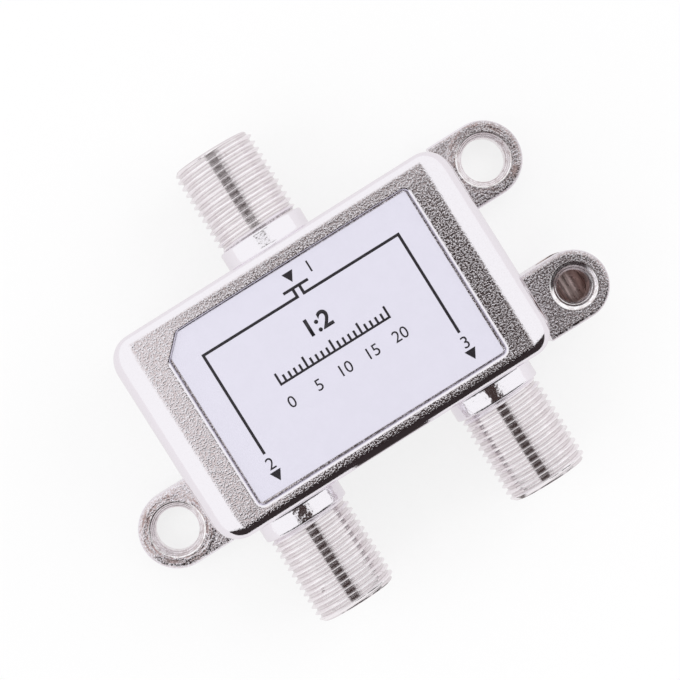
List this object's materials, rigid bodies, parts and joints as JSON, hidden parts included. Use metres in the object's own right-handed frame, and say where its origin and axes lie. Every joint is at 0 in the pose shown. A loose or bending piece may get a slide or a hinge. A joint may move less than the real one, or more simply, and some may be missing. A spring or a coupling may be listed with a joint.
{
  "type": "coaxial splitter",
  "caption": "Small die-cast two-way coaxial splitter with threaded input and output ports, mounting ears, a ground block and a soldered back cover.",
  "frame": {"origin": "centre of the body's back face, which the cover closes and the ears lie flush with", "axes": "+X across the body towards the ground block, +Y towards the input port, +Z out of the label face"},
  "size_m": [0.058, 0.0488, 0.0152],
  "materials": {
    "plated_casting": "bright nickel plate over a fine sandy casting",
    "tinned_sheet": "tinned steel sheet, satin",
    "solder": "solder, satin",
    "label_film": "matte printed film",
    "insulator": "moulded polyethylene, satin",
    "contact_metal": "rolled phosphor bronze",
    "board": "glass-filled laminate",
    "copper": "etched copper",
    "ferrite": "sintered ferrite, matte",
    "enamelled_wire": "enamelled copper wire",
    "resistor_body": "lacquered ceramic",
    "capacitor_body": "dipped ceramic",
    "lead_wire": "tinned wire"
  },
  "bodies": {
    "root": {"housing": "plated_casting", "back_cover": "tinned_sheet", "solder_seam": "solder", "label": "label_film", "front_insulator_in": "insulator", "front_insulator_out_1": "insulator", "front_insulator_out_2": "insulator", "rear_insulator_in": "insulator", "rear_insulator_out_1": "insulator", "rear_insulator_out_2": "insulator", "contact_in": "contact_metal", "contact_out_1": "contact_metal", "contact_out_2": "contact_metal", "circuit_board": "board", "copper_tracks": "copper", "solder_joints": "solder", "matching_core": "ferrite", "matching_winding": "enamelled_wire", "splitting_core": "ferrite", "splitting_winding": "enamelled_wire", "balance_resistor": "resistor_body", "resistor_leads": "lead_wire", "input_capacitor": "capacitor_body", "output_capacitor_1": "capacitor_body", "output_capacitor_2": "capacitor_body", "capacitor_leads": "lead_wire"}
  },
  "joints": []
}
